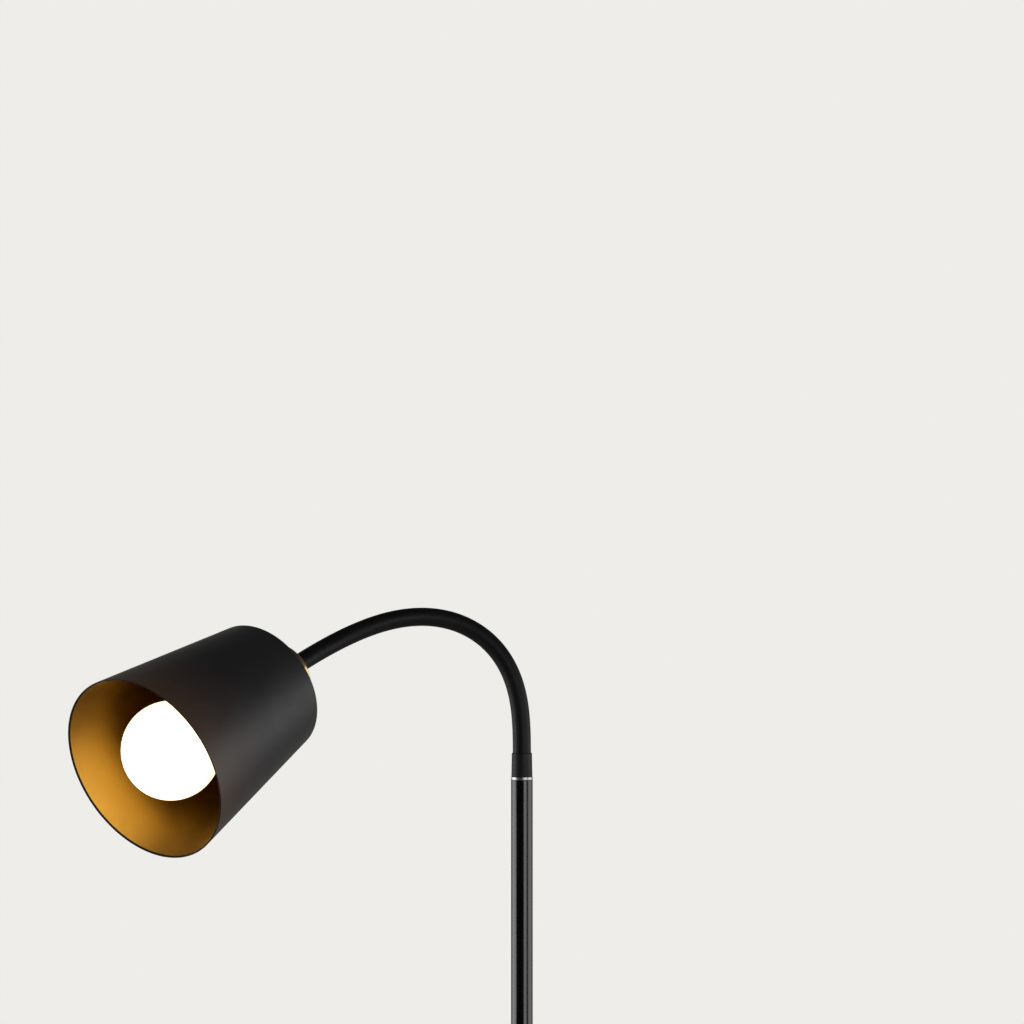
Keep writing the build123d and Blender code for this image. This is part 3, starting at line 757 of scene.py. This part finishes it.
def makeNeck(values):
    places = [Vector(joint["pos_m"]) for joint in joints]
    ways = [up] + [(b - a).normalized() for a, b in zip(places, places[1:])] + [headAxis]
    reach = values["reach"] * mm
    for number, (place, joint) in enumerate(zip(places, joints)):
        last = number == len(joints) - 1
        before, after = ways[number], ways[number + 1]
        for kind, tip, finish, slot, node in (
            ("sleeve", values["tipReach"], "siliconeBlack", "neck_silicone", "neck_sleeve"),
            ("lead", values["leadTipReach"], "jacketBlack", "lead_jacket", "neck_lead"),
        ):
            bore, radius = values[kind]
            lengths = (reach, tip * mm if last else reach)
            shape = bentTube(bore, radius, place, before, after, lengths, values)
            name = "neck" + kind.capitalize() + format(number + 1, "02d")
            piece = addPiece(name, shape, [finish])
            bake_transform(piece)
            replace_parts(piece, node)


makeNeck(neckValues)
print("neck made")


# Base
baseValues = {
    "radius": 125.0,
    "height": 16.0,
    "lift": 1.5,
    "wall": 1.2,
    "hole": 5.2,
    "edge": 5.0,
    "edge": 5.0,
    "hemEdge": 0.4,
    "collarRadius": 14.0,
    "collarHeight": 8.0,
    "collarBore": 8.05,
    "collarFootEdge": 0.3,
    "collarEdge": 2.0,
    "collarBoreEdge": 0.4,
}


def makeBase(values):
    radius, height, wall = values["radius"], values["height"], values["wall"]
    profile = [
        (values["hole"], height),
        (radius, height),
        (radius, values["lift"]),
        (radius - wall, values["lift"]),
        (radius - wall, height - wall),
        (values["hole"], height - wall),
    ]
    corners = {1: values["edge"], 2: values["hemEdge"], 3: values["hemEdge"], 4: values["edge"] - wall}
    addTurned("baseCover", profile, "baseBlack", "stand", "base_cover", corners, 8, 192)
    top = height + values["collarHeight"]
    profile = [
        (values["collarBore"], height),
        (values["collarRadius"], height),
        (values["collarRadius"], top),
        (values["collarBore"], top),
    ]
    corners = {1: values["collarFootEdge"], 2: values["collarEdge"], 3: values["collarBoreEdge"]}
    addTurned("baseCollar", profile, "poleBlack", "stand", "base_collar", corners, 6, 128)


makeBase(baseValues)
print("base made")


# Finishes of the pieces that keep their CAD shape
keptFinishes = {
    "castGrey": ["base_weight"],
    "foamBlack": ["base_pad"],
    "zincSteel": ["foot_stud", "foot_washer", "foot_nut", "foot_plug", "pole_coupler_lower", "pole_coupler_upper",
                  "top_plug", "tip_washer", "tip_nut"],
    "poleBlack": ["pole_lower"],
    "rubberBlack": ["cord_bush"],
    "jacketBlack": ["pole_lead"],
    "neckSteel": ["neck_foot", "neck_tip"],
    "holderBlack": ["holder_cap", "holder_body", "clamp_ring"],
    "nickelBrass": ["screw_shell", "holder_contact", "terminal_screws", "bulb_contact"],
    "coreBrown": ["lead_cores"],
    "insulatorBlack": ["bulb_insulator"],
    "capMetal": ["bulb_cap"],
    "boardWhite": ["bulb_board"],
    "boardGreen": ["bulb_driver"],
}
keptFinishes["neckSteel"] += sorted(name for name in nodes if name.startswith("neck_link_"))
for finish, names in keptFinishes.items():
    for name in names:
        nodes[name].data.materials.clear()
        nodes[name].data.materials.append(finishes[finish])
